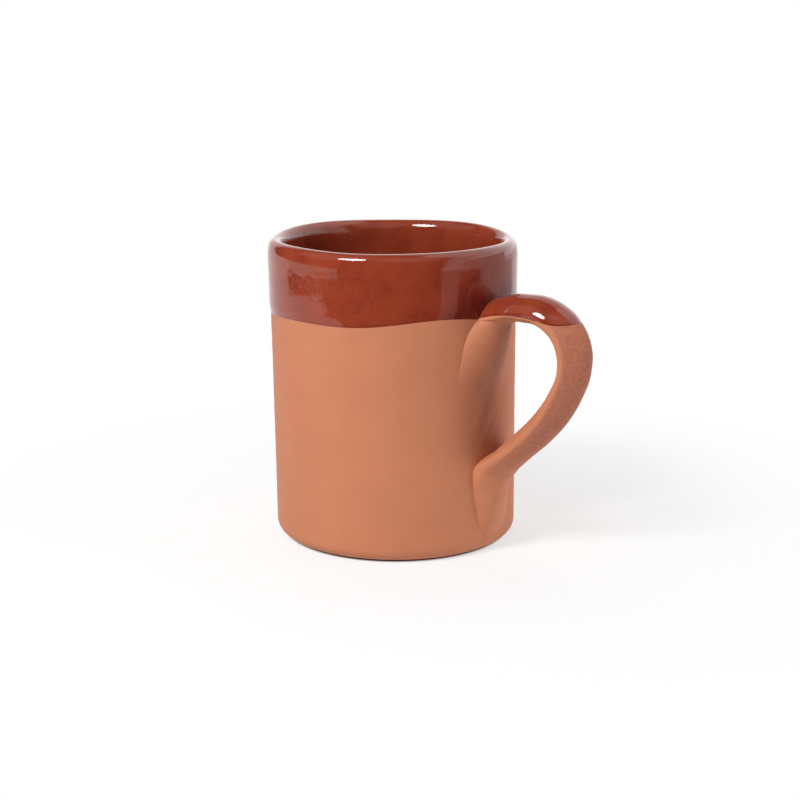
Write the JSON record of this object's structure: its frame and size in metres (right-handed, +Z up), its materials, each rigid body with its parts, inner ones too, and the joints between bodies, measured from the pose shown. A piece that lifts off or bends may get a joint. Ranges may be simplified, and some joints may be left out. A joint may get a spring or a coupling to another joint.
{
  "type": "clay mug",
  "caption": "Straight-sided earthenware mug with a pulled strap handle, glazed inside and dipped in brown glaze at the rim, for hot and cold drinks.",
  "frame": {"origin": "centre of the flat base, on the surface that the mug stands on", "axes": "+Z up along the mug's axis, +X from the axis towards the handle"},
  "size_m": [0.1157, 0.0828, 0.1014],
  "materials": {
    "bare_clay": "matte fired earthenware",
    "slip": "matte fired slip",
    "glaze": "glossy clear brown glaze"
  },
  "bodies": {
    "root": {"cup_body": "bare_clay", "handle": "bare_clay", "upper_root_fillet": "bare_clay", "upper_slip_bond": "slip", "lower_slip_bond": "slip", "liner_glaze": "glaze", "dip_glaze": "glaze", "handle_glaze": "glaze"}
  },
  "joints": []
}
